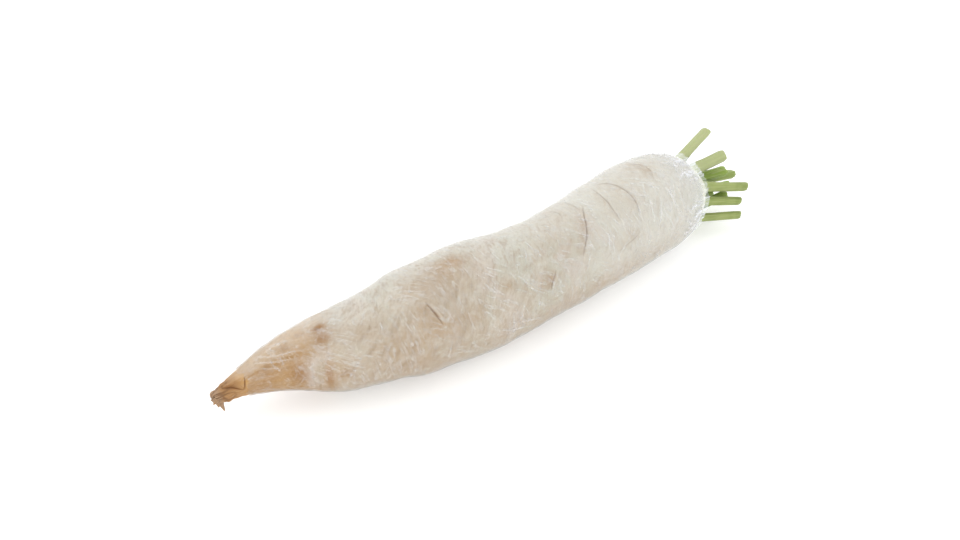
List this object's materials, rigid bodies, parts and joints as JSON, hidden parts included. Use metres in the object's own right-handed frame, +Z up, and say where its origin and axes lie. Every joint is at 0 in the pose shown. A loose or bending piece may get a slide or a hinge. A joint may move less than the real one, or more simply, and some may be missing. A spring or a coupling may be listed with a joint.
{
  "type": "daikon radish",
  "caption": "Long white daikon root lying on its side in clear stretch film, with a snapped brown tip and short cut green leaf stalks at its crown.",
  "frame": {"origin": "under the middle of the whole thing, on the surface that it lies on", "axes": "+X along the root from its snapped tip to its crown and stalks, +Z up as it lies, +Y to the side away from its bow"},
  "size_m": [0.3818, 0.081, 0.0666],
  "materials": {
    "skin": "satin",
    "film": "gloss",
    "stalk": "satin"
  },
  "bodies": {
    "root": {"root": "skin", "film_wrap": "film", "leaf_stalk_1": "stalk", "leaf_stalk_2": "stalk", "leaf_stalk_3": "stalk", "leaf_stalk_4": "stalk", "leaf_stalk_5": "stalk", "leaf_stalk_6": "stalk", "leaf_stalk_7": "stalk", "leaf_stalk_8": "stalk", "leaf_stalk_9": "stalk", "leaf_stalk_10": "stalk"}
  },
  "joints": []
}
